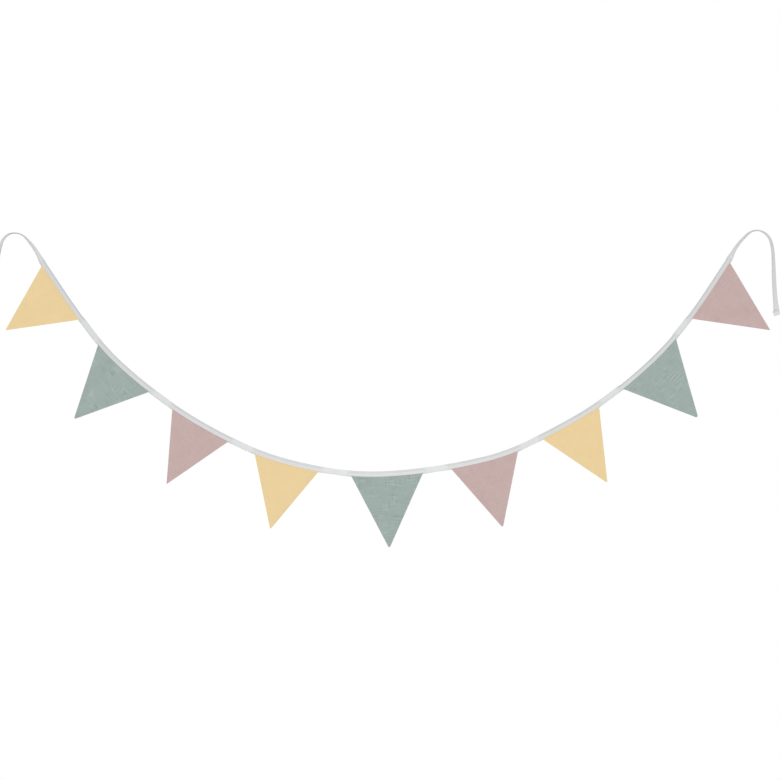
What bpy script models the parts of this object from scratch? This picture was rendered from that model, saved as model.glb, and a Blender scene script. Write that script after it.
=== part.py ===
"""Fabric bunting: nine linen pennants sewn into one folded cotton binding.

The binding hangs in a swag between two points. Past the last pennants it runs on as two ties: each
loops over its hanging point and drops as a free end with a small folded hem. The front faces -Y and +Z
is up. The origin is where the left tie's loop rests on its hanging point. Lengths are in metres and
angles in degrees.
"""

from collections import namedtuple
import math

import bmesh
import bpy
import numpy as np
from mathutils import Vector

# Binding: a strip of cotton folded lengthwise over the pennants' top edges
BINDING_WIDTH = 0.0140  # as folded, from the fold to the back leaf's edge
FRONT_SHORTER = 0.0020  # by which the front leaf ends above the back one, so that one seam catches both
LEAF_THICKNESS = 0.0010  # each of the two leaves
LEAF_GAP = 0.0003  # between the leaves where no pennant lies in them
SLOT_EASE = 0.0080  # length over which the leaves close again beside a pennant
SLOT_MARGIN = 0.0010  # room in the slot past a pennant's hidden corner
SLOT_TOP_MARGIN = 0.0004  # room in the slot above a pennant's top edge

# Pennants: two layers of linen, sewn and turned
PENNANT_THICKNESS = 0.0012
CLEARANCE = 0.00035  # from a pennant to each leaf
TUCK = 0.0090  # how far the pennants' top edges reach into the binding

# Hem at each free end: the folded binding turned back once on its front
HEM_LENGTH = 0.0100
HEM_SKEW = 12.0  # how far the fold is from square across the binding
HEM_LEAN = 0.0120  # length over which the sections lean into the fold

# Fineness of the meshes
LINE_STEP = 0.0005
PENNANT_COLUMNS = 8
PENNANT_ROWS = 9
SLOT_STEP = 0.0260
GAP_STEP = 0.0220
TIE_STEP = 0.0150
BEND_STEP = 11.0
HEM_STEPS = 5
FLAP_STEPS = 2

# One row for each pennant, from the left. "top" is its length along the binding. "height" goes from the
# line between its two corners at the binding's lower edge to the point where its sides would meet, and
# "tip_shift" moves that point along the binding. "tip_round" is the tip's radius, larger where it was
# turned out less. "slope" is the binding's heading at the pennant's middle. "gap", "gap_slope" and
# "gap_turn" are the length, heading and lean of the bare binding after it. "curl", "twist" and "ripple"
# are how far its tip, its sides and its middle stand out of the plane. "lean" is how far the binding's
# fold is bent back above the pennant's top edge.
Pennant = namedtuple(
    "Pennant", "cloth top height tip_shift tip_round slope gap gap_slope gap_turn curl twist ripple lean"
)
PENNANTS = (
    Pennant("yellow", 0.1460, 0.1479, 0.0004, 0.0010, -56.2, 0.0723, -53.1, 5, -0.0040, 0.0020, 0.0012, 52),
    Pennant("green", 0.1534, 0.1590, -0.0045, 0.0026, -41.8, 0.0665, -36.5, -6, 0.0030, -0.0030, -0.0015, 30),
    Pennant("rose", 0.1434, 0.1508, 0.0011, 0.0010, -29.9, 0.0669, -25.0, -12, -0.0055, -0.0015, 0.0010, 31),
    Pennant("yellow", 0.1465, 0.1525, 0.0049, 0.0018, -15.0, 0.0755, -8.1, -30, -0.0020, 0.0030, 0.0016, 17),
    Pennant("green", 0.1586, 0.1646, -0.0014, 0.0028, 3.2, 0.0661, 8.7, -24, -0.0060, 0.0010, -0.0014, 16),
    Pennant("rose", 0.1529, 0.1564, 0.0001, 0.0025, 13.6, 0.0628, 26.4, -28, 0.0025, 0.0025, 0.0013, 20),
    Pennant("yellow", 0.1443, 0.1563, 0.0040, 0.0020, 29.0, 0.0687, 36.7, -14, -0.0035, -0.0030, -0.0012, 27),
    Pennant("green", 0.1612, 0.1623, -0.0048, 0.0034, 42.9, 0.0589, 51.9, 4, -0.0065, 0.0015, 0.0015, 56),
    Pennant("rose", 0.1509, 0.1594, 0.0015, 0.0010, 56.8, 0.0, 0.0, 0, 0.0030, 0.0028, -0.0010, 50),
)

# One row for each stretch of a tie, from the last pennant outwards: its length, the heading at its end
# (0 is level and outwards, -90 straight down), how far the binding's face has turned from the front
# there, and how far back it lies.
Stretch = namedtuple("Stretch", "length heading turn depth")
RIGHT_TIE = (
    Stretch(0.006, 59, 3, 0.0000),
    Stretch(0.008, 61, 44, 0.0000),
    Stretch(0.010, 62, 58, 0.0000),
    Stretch(0.031, 48, 70, 0.0000),
    Stretch(0.020, 44, 73, 0.0000),
    Stretch(0.016, 19, 80, 0.0000),
    Stretch(0.016, -17, 80, 0.0000),
    Stretch(0.016, -41, 65, 0.0005),
    Stretch(0.020, -73, 58, 0.0015),
    Stretch(0.030, -87, 56, 0.0030),
    Stretch(0.045, -88, 46, 0.0060),
    Stretch(0.064, -84, 37, 0.0090),
    Stretch(0.014, -84, 12, 0.0095),
    Stretch(0.012, -84, 12, 0.0095),
)
LEFT_TIE = (
    Stretch(0.006, 58, 4, 0.0000),
    Stretch(0.008, 60, 44, 0.0000),
    Stretch(0.010, 62, 56, 0.0000),
    Stretch(0.031, 51, 67, 0.0000),
    Stretch(0.020, 45, 81, 0.0000),
    Stretch(0.016, 16, 84, 0.0000),
    Stretch(0.016, -10, 78, 0.0000),
    Stretch(0.016, -44, 64, 0.0005),
    Stretch(0.020, -73, 57, 0.0015),
    Stretch(0.030, -79, 55, 0.0035),
    Stretch(0.045, -85, 47, 0.0060),
    Stretch(0.066, -87, 35, 0.0080),
    Stretch(0.014, -87, 14, 0.0085),
    Stretch(0.012, -87, 14, 0.0085),
)

# Colours as 8-bit screen values, and the roughness of each cloth
Cloth = namedtuple("Cloth", "colour roughness")
CLOTHS = {
    "binding": Cloth((226, 226, 225), 0.85),
    "yellow": Cloth((234, 209, 158), 0.90),
    "green": Cloth((160, 174, 169), 0.90),
    "rose": Cloth((197, 173, 170), 0.90),
}

LEAF_OFFSET = (LEAF_GAP + LEAF_THICKNESS) / 2  # from the binding's middle plane to a closed leaf's
SLOT_OFFSET = PENNANT_THICKNESS / 2 + CLEARANCE + LEAF_THICKNESS / 2  # and to a leaf's beside a pennant
HEM_RADIUS = LEAF_OFFSET + (LEAF_THICKNESS + LEAF_GAP) / 2  # of the binding's middle as it turns back
LEFT_LENGTH = sum(stretch.length for stretch in LEFT_TIE)
RIGHT_LENGTH = sum(stretch.length for stretch in RIGHT_TIE)
SWAG_LENGTH = sum(row.top + row.gap for row in PENNANTS)
RIGHT_START = LEFT_LENGTH + SWAG_LENGTH
WHOLE_LENGTH = RIGHT_START + RIGHT_LENGTH


def clear_scene():
    for thing in list(bpy.data.objects):
        bpy.data.objects.remove(thing, do_unlink=True)


def linear(value):
    """A colour channel from 0-255 on the screen to linear 0-1."""
    share = value / 255
    if share <= 0.04045:
        return share / 12.92
    return ((share + 0.055) / 1.055) ** 2.4


def cloth_material(name, cloth):
    material = bpy.data.materials.new(name)
    material.use_nodes = True
    shader = material.node_tree.nodes["Principled BSDF"]
    shader.inputs["Base Color"].default_value = (*(linear(value) for value in cloth.colour), 1)
    shader.inputs["Roughness"].default_value = cloth.roughness
    shader.inputs["Metallic"].default_value = 0
    return material


def pennant_spans():
    """Where each pennant starts and ends along the binding, measured from the left tie's end."""
    spans = []
    along = LEFT_LENGTH
    for row in PENNANTS:
        spans.append((along, along + row.top))
        along += row.top + row.gap
    return spans


def slot_overhang(row):
    """How far the slot for a pennant runs on past its corner at the binding's lower edge."""
    return hidden_spread(row) + SLOT_MARGIN


def hidden_spread(row):
    """How far a pennant's sides have spread at its top edge, inside the binding."""
    return TUCK * row.top / 2 / row.height


def tie_knots(stretches, start, direction):
    """Distance, heading, turn and depth at the end of each stretch of a tie."""
    knots = []
    along = start
    for stretch in stretches:
        along += direction * stretch.length
        knots.append((along, direction * stretch.heading, stretch.turn, stretch.depth))
    return knots


def binding_knots():
    """The headings, and the turns and depths, that the binding passes through, each with its distance."""
    ties = tie_knots(LEFT_TIE, LEFT_LENGTH, -1) + tie_knots(RIGHT_TIE, RIGHT_START, 1)
    headings = [(knot[0], knot[1]) for knot in ties]
    turns = [(knot[0], knot[2]) for knot in ties]
    depths = [(knot[0], knot[3]) for knot in ties]
    headings += [(LEFT_LENGTH, PENNANTS[0].slope), (RIGHT_START, PENNANTS[-1].slope)]
    depths += [(LEFT_LENGTH, 0), (RIGHT_START, 0)]
    for row, (start, end) in zip(PENNANTS, pennant_spans()):
        overhang = slot_overhang(row)
        headings.append(((start + end) / 2, row.slope))
        turns += [(start - overhang, 0), (end + overhang, 0)]
        if row.gap:
            headings.append((end + row.gap / 2, row.gap_slope))
            turns.append((end + row.gap / 2, row.gap_turn))
    return sorted(headings), sorted(turns), sorted(depths)


class BindingLine:
    """The middle of the folded binding, from the left tie's end to the right one's."""

    def __init__(self):
        headings, turns, depths = binding_knots()
        self.along = np.linspace(0, WHOLE_LENGTH, round(WHOLE_LENGTH / LINE_STEP) + 1)
        self.heading = np.radians(np.interp(self.along, *zip(*headings)))
        self.turn = np.radians(np.interp(self.along, *zip(*turns)))
        self.depth = np.interp(self.along, *zip(*depths))
        midway = (self.heading[1:] + self.heading[:-1]) / 2
        step = self.along[1]
        self.x = np.concatenate([[0], np.cumsum(np.cos(midway) * step)])
        self.z = np.concatenate([[0], np.cumsum(np.sin(midway) * step)])
        crown = int(np.argmax(self.z[self.along < LEFT_LENGTH]))
        self.x -= self.x[crown]
        self.z -= self.z[crown] - LEAF_OFFSET - LEAF_THICKNESS / 2

    def frame(self, along):
        """The middle point, the way ahead, the way across to the fold, and the way to the front."""
        heading = np.interp(along, self.along, self.heading)
        turn = np.interp(along, self.along, self.turn)
        x, depth, z = (np.interp(along, self.along, values) for values in (self.x, self.depth, self.z))
        ahead = Vector((math.cos(heading), 0, math.sin(heading)))
        upright = Vector((-math.sin(heading), 0, math.cos(heading)))
        across = upright * math.cos(turn) + Vector((0, math.sin(turn), 0))
        return Vector((x, depth, z)), ahead, across, ahead.cross(across)


def even_steps(start, end, longest):
    """Evenly spaced distances from start up to, but not including, end."""
    count = max(1, math.ceil((end - start) / longest))
    return [start + (end - start) * number / count for number in range(count)]


def tie_steps(stretches):
    """Distances from the last pennant for a tie's sections, closer together where it bends or turns."""
    steps = []
    along = 0.0
    heading, turn = stretches[0].heading, 0
    for stretch in stretches:
        bend = max(abs(stretch.heading - heading), abs(stretch.turn - turn), BEND_STEP)
        longest = min(TIE_STEP, stretch.length * BEND_STEP / bend)
        steps += even_steps(along, along + stretch.length, longest)
        along += stretch.length
        heading, turn = stretch.heading, stretch.turn
    return steps


def binding_stations():
    """Each section's distance along the binding, whether it is open round a pennant, and its lean."""
    slots = []
    for row, (start, end) in zip(PENNANTS, pennant_spans()):
        overhang = slot_overhang(row)
        slots.append((start - overhang, end + overhang))
    first = slots[0][0] - SLOT_EASE
    last = slots[-1][1] + SLOT_EASE
    left_tie = [LEFT_LENGTH - step for step in tie_steps(LEFT_TIE)]
    right_tie = [RIGHT_START + step for step in tie_steps(RIGHT_TIE)]
    shut = [first] + [along for along in left_tie if HEM_LEAN < along < first]
    shut += [along for along in right_tie if last < along < WHOLE_LENGTH - HEM_LEAN]
    stations = []
    for number, (low, high) in enumerate(slots):
        lean = PENNANTS[number].lean
        stations += [(step, True, lean) for step in even_steps(low, high, SLOT_STEP) + [high]]
        shut.append(high + SLOT_EASE)
        if number + 1 < len(slots):
            next_ease = slots[number + 1][0] - SLOT_EASE
            shut += even_steps(high + SLOT_EASE, next_ease, GAP_STEP)[1:] + [next_ease]
    return sorted(stations + [(along, False, 0) for along in shut])


def hem_sections(line, end, outward):
    """One free end's sections: leaning into the skewed fold, round it, and back along the front."""
    skew = math.radians(HEM_SKEW)
    sections = []
    for share in (0.0, 0.5, 1.0):
        point, ahead, across, front = line.frame(end - outward * HEM_LEAN * (1 - share))
        away = ahead * outward
        sections.append((point, across - away * math.tan(skew * share), front, False, 0))
    fold_line = across - away * math.tan(skew)
    square = (away * math.cos(skew) + across * math.sin(skew)).normalized()
    for step in range(1, HEM_STEPS + 1):
        angle = math.pi * step / HEM_STEPS
        middle = point + (square * math.sin(angle) + front * (1 - math.cos(angle))) * HEM_RADIUS
        facing = front * math.cos(angle) - square * math.sin(angle)
        sections.append((middle, fold_line, facing, False, 0))
    back = -away * math.cos(2 * skew) - across * math.sin(2 * skew)
    for step in range(1, FLAP_STEPS + 1):
        place = middle + back * HEM_LENGTH * step / FLAP_STEPS
        sections.append((place, fold_line, facing, False, 0))
    return sections


def binding_profile(opened, lean):
    """The folded strip's middle surface in one section, from the front leaf's free edge over the fold
    to the back one's: the place across the binding and the place towards the front."""
    half = BINDING_WIDTH / 2
    leaf = SLOT_OFFSET if opened else LEAF_OFFSET
    bend = -half + TUCK + SLOT_TOP_MARGIN
    angle = math.radians(lean)
    reach = half - LEAF_THICKNESS / 2 - LEAF_OFFSET - bend

    def bent(beyond, forwards):
        """A place beyond the bend, turned back with the fold."""
        return (
            bend + beyond * math.cos(angle) + forwards * math.sin(angle),
            forwards * math.cos(angle) - beyond * math.sin(angle),
        )

    diagonal = LEAF_OFFSET * math.sqrt(0.5)
    return [
        (-half + FRONT_SHORTER, leaf),
        (bend + leaf * math.sin(angle) / 2, leaf),
        bent(reach, LEAF_OFFSET),
        bent(reach + diagonal, diagonal),
        bent(reach + LEAF_OFFSET, 0),
        bent(reach + diagonal, -diagonal),
        bent(reach, -LEAF_OFFSET),
        (bend, -leaf),
        (-half, -leaf),
    ]


def shaped_grid(name, columns, rows, place):
    """A mesh of columns by rows faces, with the corner in column i and row j at place(i, j)."""
    sheet = bmesh.new()
    bmesh.ops.create_grid(sheet, x_segments=columns, y_segments=rows, size=1)
    for corner in sheet.verts:
        row, column = divmod(corner.index, columns + 1)
        corner.co = place(column, row)
    mesh = bpy.data.meshes.new(name)
    sheet.to_mesh(mesh)
    sheet.free()
    mesh.shade_smooth()
    return mesh


def add_sheet(name, mesh, thickness, material, collection, root):
    """A piece of cloth: its middle surface, given its thickness."""
    mesh.materials.append(material)
    piece = bpy.data.objects.new(name, mesh)
    collection.objects.link(piece)
    piece.parent = root
    solid = piece.modifiers.new("thickness", "SOLIDIFY")
    solid.thickness = thickness
    solid.offset = 0
    solid.use_even_offset = True
    return piece


def binding_mesh(line):
    """The folded strip's middle surface, from one hem's raw end to the other's."""
    sections = hem_sections(line, 0, -1)[::-1]
    for along, opened, lean in binding_stations():
        middle, _, across, front = line.frame(along)
        sections.append((middle, across, front, opened, lean))
    sections += hem_sections(line, WHOLE_LENGTH, 1)
    profiles = [binding_profile(opened, lean) for _, _, _, opened, lean in sections]

    def place(column, row):
        middle, across, front, _, _ = sections[column]
        sideways, forwards = profiles[column][row]
        return middle + across * sideways + front * forwards

    return shaped_grid("binding", len(sections) - 1, len(profiles[0]) - 1, place)


def tip_arc(left, right, tip, radius):
    """A function of 0 to 1 that runs round the blunt tip, from the left side's end to the right side's."""
    to_left = (left - tip).normalized()
    to_right = (right - tip).normalized()
    half_angle = to_left.angle(to_right) / 2
    outward = -(to_left + to_right).normalized()
    sideways = (to_right - to_left).normalized()
    centre = tip - outward * radius / math.sin(half_angle)

    def point(share):
        angle = (2 * share - 1) * (math.pi / 2 - half_angle)
        return centre + (outward * math.cos(angle) + sideways * math.sin(angle)) * radius

    return point


def pennant_mesh(name, row, span, line):
    """A pennant's middle surface: one hidden row inside the binding, then rows down to the blunt tip."""
    start, end = span
    spread = hidden_spread(row)

    def seat(share, tuck, overhang):
        """A point of the pennant on the binding, tuck in from its lower edge."""
        along = start - overhang + share * (end - start + 2 * overhang)
        middle, _, across, _ = line.frame(along)
        return middle + across * (tuck - BINDING_WIDTH / 2)

    left, right = seat(0, 0, 0), seat(1, 0, 0)
    sideways = (right - left).normalized()
    down = Vector((sideways.z, 0, -sideways.x))
    tip = (left + right) / 2 + sideways * row.tip_shift + down * row.height
    round_tip = tip_arc(left, right, tip, row.tip_round)

    def place(column, rank):
        share = column / PENNANT_COLUMNS
        if rank == 0:
            return seat(share, TUCK, spread)
        drop = (rank - 1) / PENNANT_ROWS
        point = seat(share, 0, 0).lerp(round_tip(share), drop)
        curl = row.curl * drop**2
        twist = row.twist * (2 * share - 1) * 4 * drop**2 * (1 - drop)
        ripple = row.ripple * math.sin(math.pi * drop) ** 2 * math.sin(2 * math.pi * share)
        return point + Vector((0, curl + twist + ripple, 0))

    return shaped_grid(name, PENNANT_COLUMNS, PENNANT_ROWS + 1, place)


def main():
    clear_scene()
    collection = bpy.data.collections.new("bunting")
    bpy.context.scene.collection.children.link(collection)
    root = bpy.data.objects.new("hanging_point", None)
    root.empty_display_size = BINDING_WIDTH
    collection.objects.link(root)
    line = BindingLine()
    cotton = cloth_material("binding_cotton", CLOTHS["binding"])
    add_sheet("binding", binding_mesh(line), LEAF_THICKNESS, cotton, collection, root)
    for number, (row, span) in enumerate(zip(PENNANTS, pennant_spans()), start=1):
        name = f"pennant_{number}_{row.cloth}"
        linen = cloth_material(f"{name}_linen", CLOTHS[row.cloth])
        mesh = pennant_mesh(name, row, span, line)
        add_sheet(name, mesh, PENNANT_THICKNESS, linen, collection, root)


main()
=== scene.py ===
# %% [markdown]
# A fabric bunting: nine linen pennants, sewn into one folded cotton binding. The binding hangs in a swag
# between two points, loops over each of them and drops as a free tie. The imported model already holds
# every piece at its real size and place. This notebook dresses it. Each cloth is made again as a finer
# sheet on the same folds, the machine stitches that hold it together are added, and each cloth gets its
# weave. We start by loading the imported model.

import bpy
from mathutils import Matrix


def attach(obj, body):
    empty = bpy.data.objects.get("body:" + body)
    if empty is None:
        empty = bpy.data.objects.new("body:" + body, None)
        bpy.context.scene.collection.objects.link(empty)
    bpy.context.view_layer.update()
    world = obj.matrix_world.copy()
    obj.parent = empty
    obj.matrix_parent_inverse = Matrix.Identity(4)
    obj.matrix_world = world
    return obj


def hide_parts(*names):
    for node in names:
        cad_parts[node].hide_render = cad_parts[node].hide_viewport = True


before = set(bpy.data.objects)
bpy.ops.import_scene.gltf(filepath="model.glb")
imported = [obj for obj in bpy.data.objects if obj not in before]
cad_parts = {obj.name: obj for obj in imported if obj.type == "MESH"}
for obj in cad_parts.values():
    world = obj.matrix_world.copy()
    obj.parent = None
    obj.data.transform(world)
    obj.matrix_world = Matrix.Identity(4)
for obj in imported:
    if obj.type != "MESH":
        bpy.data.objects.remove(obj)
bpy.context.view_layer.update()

# %% [markdown]
# Everything below is in metres, with +Z up and the front towards -Y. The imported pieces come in
# selected, and an operator acts on all that is selected, so we let go of them first.

# %% Tools and a clear selection
from collections import namedtuple
import math

import bmesh
import bpy
import numpy as np
from mathutils import Vector, noise

bpy.ops.object.select_all(action="DESELECT")

# %% [markdown]
# The picture is taken straight from the front, from far enough away that nothing looks foreshortened.
# A long lens does the same here. Its distance follows from the width that the view takes in.

# %% Camera
VIEW_CENTRE = Vector((0.8446, 0.0, -0.3519))
VIEW_WIDTH = 1.755
LENS = 150
SENSOR = 36

distance = VIEW_WIDTH * LENS / SENSOR
bpy.ops.object.camera_add(location=VIEW_CENTRE - Vector((0, distance, 0)), rotation=(math.pi / 2, 0, 0))
camera = bpy.context.object
camera.data.lens = LENS
camera.data.sensor_width = SENSOR
camera.data.clip_end = 100
bpy.context.scene.camera = camera
print("camera stands", round(distance, 2), "m in front")

# %% [markdown]
# The binding is one long strip, so everything on it is found by how far along it lies. These are the
# sizes that the construction was made from. Each pennant has a row of its own, and so has each stretch
# of a tie, because a real bunting hangs a little unevenly: no two pennants or gaps are quite alike.

# %% Sizes of the construction
BINDING_WIDTH = 0.0140  # folded in two, from the fold to the back leaf's edge
FRONT_SHORTER = 0.0020  # by which the front leaf ends above the back one
TUCK = 0.0090  # how far the pennants reach into it
SLOT_EASE = 0.0080  # length over which its leaves close again beside a pennant
SLOT_MARGIN = 0.0010
HEM_LENGTH = 0.0100
HEM_SKEW = math.radians(12)
HEM_LEAN = 0.0120
LINE_STEP = 0.0005
EVENING_REACH = 0.0080  # either way along the line, over which its turns and depths are evened out

Pennant = namedtuple(
    "Pennant", "cloth top height tip_shift tip_round slope gap gap_slope gap_turn curl twist ripple lean"
)
PENNANTS = (
    Pennant("yellow", 0.1460, 0.1479, 0.0004, 0.0010, -56.2, 0.0723, -53.1, 5, -0.0040, 0.0020, 0.0012, 52),
    Pennant("green", 0.1534, 0.1590, -0.0045, 0.0026, -41.8, 0.0665, -36.5, -6, 0.0030, -0.0030, -0.0015, 30),
    Pennant("rose", 0.1434, 0.1508, 0.0011, 0.0010, -29.9, 0.0669, -25.0, -12, -0.0055, -0.0015, 0.0010, 31),
    Pennant("yellow", 0.1465, 0.1525, 0.0049, 0.0018, -15.0, 0.0755, -8.1, -30, -0.0020, 0.0030, 0.0016, 17),
    Pennant("green", 0.1586, 0.1646, -0.0014, 0.0028, 3.2, 0.0661, 8.7, -24, -0.0060, 0.0010, -0.0014, 16),
    Pennant("rose", 0.1529, 0.1564, 0.0001, 0.0025, 13.6, 0.0628, 26.4, -28, 0.0025, 0.0025, 0.0013, 20),
    Pennant("yellow", 0.1443, 0.1563, 0.0040, 0.0020, 29.0, 0.0687, 36.7, -14, -0.0035, -0.0030, -0.0012, 27),
    Pennant("green", 0.1612, 0.1623, -0.0048, 0.0034, 42.9, 0.0589, 51.9, 4, -0.0065, 0.0015, 0.0015, 56),
    Pennant("rose", 0.1509, 0.1594, 0.0015, 0.0010, 56.8, 0.0, 0.0, 0, 0.0030, 0.0028, -0.0010, 50),
)
# A tie's stretches: length, and heading, turn and depth at its end
RIGHT_TIE = (
    (0.006, 59, 3, 0.0000),
    (0.008, 61, 44, 0.0000),
    (0.010, 62, 58, 0.0000),
    (0.031, 48, 70, 0.0000),
    (0.020, 44, 73, 0.0000),
    (0.016, 19, 80, 0.0000),
    (0.016, -17, 80, 0.0000),
    (0.016, -41, 65, 0.0005),
    (0.020, -73, 58, 0.0015),
    (0.030, -87, 56, 0.0030),
    (0.045, -88, 46, 0.0060),
    (0.064, -84, 37, 0.0090),
    (0.014, -84, 12, 0.0095),
    (0.012, -84, 12, 0.0095),
)
LEFT_TIE = (
    (0.006, 58, 4, 0.0000),
    (0.008, 60, 44, 0.0000),
    (0.010, 62, 56, 0.0000),
    (0.031, 51, 67, 0.0000),
    (0.020, 45, 81, 0.0000),
    (0.016, 16, 84, 0.0000),
    (0.016, -10, 78, 0.0000),
    (0.016, -44, 64, 0.0005),
    (0.020, -73, 57, 0.0015),
    (0.030, -79, 55, 0.0035),
    (0.045, -85, 47, 0.0060),
    (0.066, -87, 35, 0.0080),
    (0.014, -87, 14, 0.0085),
    (0.012, -87, 14, 0.0085),
)
CROWN_HEIGHT = 0.00115  # of the binding's middle above its underside, where it hangs

left_length = sum(length for length, *_ in LEFT_TIE)
right_start = left_length + sum(row.top + row.gap for row in PENNANTS)
whole_length = right_start + sum(length for length, *_ in RIGHT_TIE)
print("binding", round(whole_length, 3), "m from end to end")

# %% [markdown]
# A hanging strip is easiest to draw as its maker would lay it out: by its heading. The heading is known
# at a few places, and turns evenly between them. Adding up short steps along it gives the curve of the
# swag and of both loops. A second and a third list say how far the strip's face turns to the side and
# how far back it lies. Cloth takes up a turn gradually, so these two are evened out with a running mean.


# %% The line along which the binding hangs
def pennant_spans():
    """Where each pennant starts and ends along the binding."""
    spans, along = [], left_length
    for row in PENNANTS:
        spans.append((along, along + row.top))
        along += row.top + row.gap
    return spans


def hidden_spread(row):
    """How far a pennant's sides have spread at its top edge, inside the binding."""
    return TUCK * row.top / 2 / row.height


def slot_spans():
    """Where the binding's leaves stand apart to hold a pennant."""
    overhangs = [hidden_spread(row) + SLOT_MARGIN for row in PENNANTS]
    return [(low - over, high + over) for (low, high), over in zip(pennant_spans(), overhangs)]


def tie_knots(stretches, start, direction):
    """Distance, heading, turn and depth at the end of each stretch of a tie."""
    knots, along = [], start
    for length, heading, turn, depth in stretches:
        along += direction * length
        knots.append((along, direction * heading, turn, depth))
    return knots


def binding_knots():
    """What the binding passes through: its headings, its turns and its depths, each with a distance."""
    ties = tie_knots(LEFT_TIE, left_length, -1) + tie_knots(RIGHT_TIE, right_start, 1)
    headings = [(knot[0], knot[1]) for knot in ties]
    turns = [(knot[0], knot[2]) for knot in ties]
    depths = [(knot[0], knot[3]) for knot in ties] + [(left_length, 0), (right_start, 0)]
    headings += [(left_length, PENNANTS[0].slope), (right_start, PENNANTS[-1].slope)]
    for row, (start, end), (low, high) in zip(PENNANTS, pennant_spans(), slot_spans()):
        headings.append(((start + end) / 2, row.slope))
        turns += [(low, 0), (high, 0)]
        if row.gap:
            headings.append((end + row.gap / 2, row.gap_slope))
            turns.append((end + row.gap / 2, row.gap_turn))
    return sorted(headings), sorted(turns), sorted(depths)


def evened(values):
    """The running mean of values along the line, with its ends held."""
    reach = round(EVENING_REACH / LINE_STEP)
    window = 2 * reach + 1
    return np.convolve(np.pad(values, reach, mode="edge"), np.full(window, 1 / window), mode="valid")


class BindingLine:
    """The middle of the folded binding, from the left tie's end to the right one's."""

    def __init__(self):
        headings, turns, depths = binding_knots()
        self.along = np.linspace(0, whole_length, round(whole_length / LINE_STEP) + 1)
        self.heading = np.radians(np.interp(self.along, *zip(*headings)))
        self.turn = evened(np.radians(np.interp(self.along, *zip(*turns))))
        self.depth = evened(np.interp(self.along, *zip(*depths)))
        midway = (self.heading[1:] + self.heading[:-1]) / 2
        step = self.along[1]
        self.x = np.concatenate([[0], np.cumsum(np.cos(midway) * step)])
        self.z = np.concatenate([[0], np.cumsum(np.sin(midway) * step)])
        crown = int(np.argmax(self.z[self.along < left_length]))
        self.x -= self.x[crown]
        self.z -= self.z[crown] - CROWN_HEIGHT

    def frame(self, along):
        """The middle point, the way ahead, the way across to the fold, and the way to the front."""
        heading = np.interp(along, self.along, self.heading)
        turn = np.interp(along, self.along, self.turn)
        x, depth, z = (np.interp(along, self.along, values) for values in (self.x, self.depth, self.z))
        ahead = Vector((math.cos(heading), 0, math.sin(heading)))
        upright = Vector((-math.sin(heading), 0, math.cos(heading)))
        across = upright * math.cos(turn) + Vector((0, math.sin(turn), 0))
        return Vector((x, depth, z)), ahead, across, ahead.cross(across)


line = BindingLine()
print("swag's lowest point, in metres:", round(float(line.z.min()), 3))

# %% [markdown]
# The strip is pressed cotton, turned in along both edges, so each of its two leaves is a double layer of
# thin cloth. The leaves hold the pennants between them and lie on each other in the gaps. Each free end
# is folded back once on the front, a little askew, as a hem. To have one way of placing things on the
# strip, we take sections every few millimetres, from one hem's raw end to the other's, and measure how
# far along its own path each one lies. Where a pennant is sewn in, a section also knows how far the
# leaves stand apart and how far the fold is bent back, and both die away past the pennant's corners.

# %% Sections along the strip
LEAF = 0.0008  # thickness of a leaf
CLOSED_OFFSET = 0.00048  # from the strip's middle to a leaf's, where the leaves meet
SECTION_STEP = 0.0030
HEM_TURN_STEPS = 8
FLAP_STEPS = 4
HEM_AIR = 0.00005  # half of what is left free between a flap and the strip
LEAN_EASE = 0.0160  # length over which the fold straightens, half of it beside the pennant

Section = namedtuple("Section", "middle across front opening lean")
hem_radius = CLOSED_OFFSET + LEAF / 2 + HEM_AIR


def soft_step(share):
    """From 0 to 1 as share goes from 0 to 1, starting and ending gently."""
    share = np.clip(share, 0, 1)
    return share * share * (3 - 2 * share)


def opening_at(along):
    """How far the leaves stand apart, 0 to 1 round a pennant, and how far the fold is bent back there."""
    opening = lean = 0.0
    for row, (low, high) in zip(PENNANTS, slot_spans()):
        inside = min(along - low, high - along)
        opening = max(opening, float(soft_step(inside / SLOT_EASE + 1)))
        lean = max(lean, float(soft_step(inside / LEAN_EASE + 0.5)) * math.radians(row.lean))
    return opening, lean


def hem_sections(end, outward):
    """One free end: leaning into the skewed fold, round it, and back along the strip's front."""
    sections = []
    for share in (0.0, 0.25, 0.5, 0.75, 1.0):
        point, ahead, across, front = line.frame(end - outward * HEM_LEAN * (1 - share))
        away = ahead * outward
        sections.append(Section(point, across - away * math.tan(HEM_SKEW * share), front, 0, 0))
    fold_line = across - away * math.tan(HEM_SKEW)
    square = (away * math.cos(HEM_SKEW) + across * math.sin(HEM_SKEW)).normalized()
    for step in range(1, HEM_TURN_STEPS + 1):
        angle = math.pi * step / HEM_TURN_STEPS
        middle = point + (square * math.sin(angle) + front * (1 - math.cos(angle))) * hem_radius
        facing = front * math.cos(angle) - square * math.sin(angle)
        sections.append(Section(middle, fold_line, facing, 0, 0))
    back = -away * math.cos(2 * HEM_SKEW) - across * math.sin(2 * HEM_SKEW)
    for step in range(1, FLAP_STEPS + 1):
        place = middle + back * HEM_LENGTH * step / FLAP_STEPS
        sections.append(Section(place, fold_line, facing, 0, 0))
    return sections


def strip_sections():
    """All the sections, from the left hem's raw end to the right one's."""
    first, last = HEM_LEAN + SECTION_STEP, whole_length - HEM_LEAN - SECTION_STEP
    plain = []
    for along in np.linspace(first, last, round((last - first) / SECTION_STEP)):
        middle, _, across, front = line.frame(along)
        plain.append(Section(middle, across, front, *opening_at(along)))
    return hem_sections(0, -1)[::-1] + plain + hem_sections(whole_length, 1)


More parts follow.
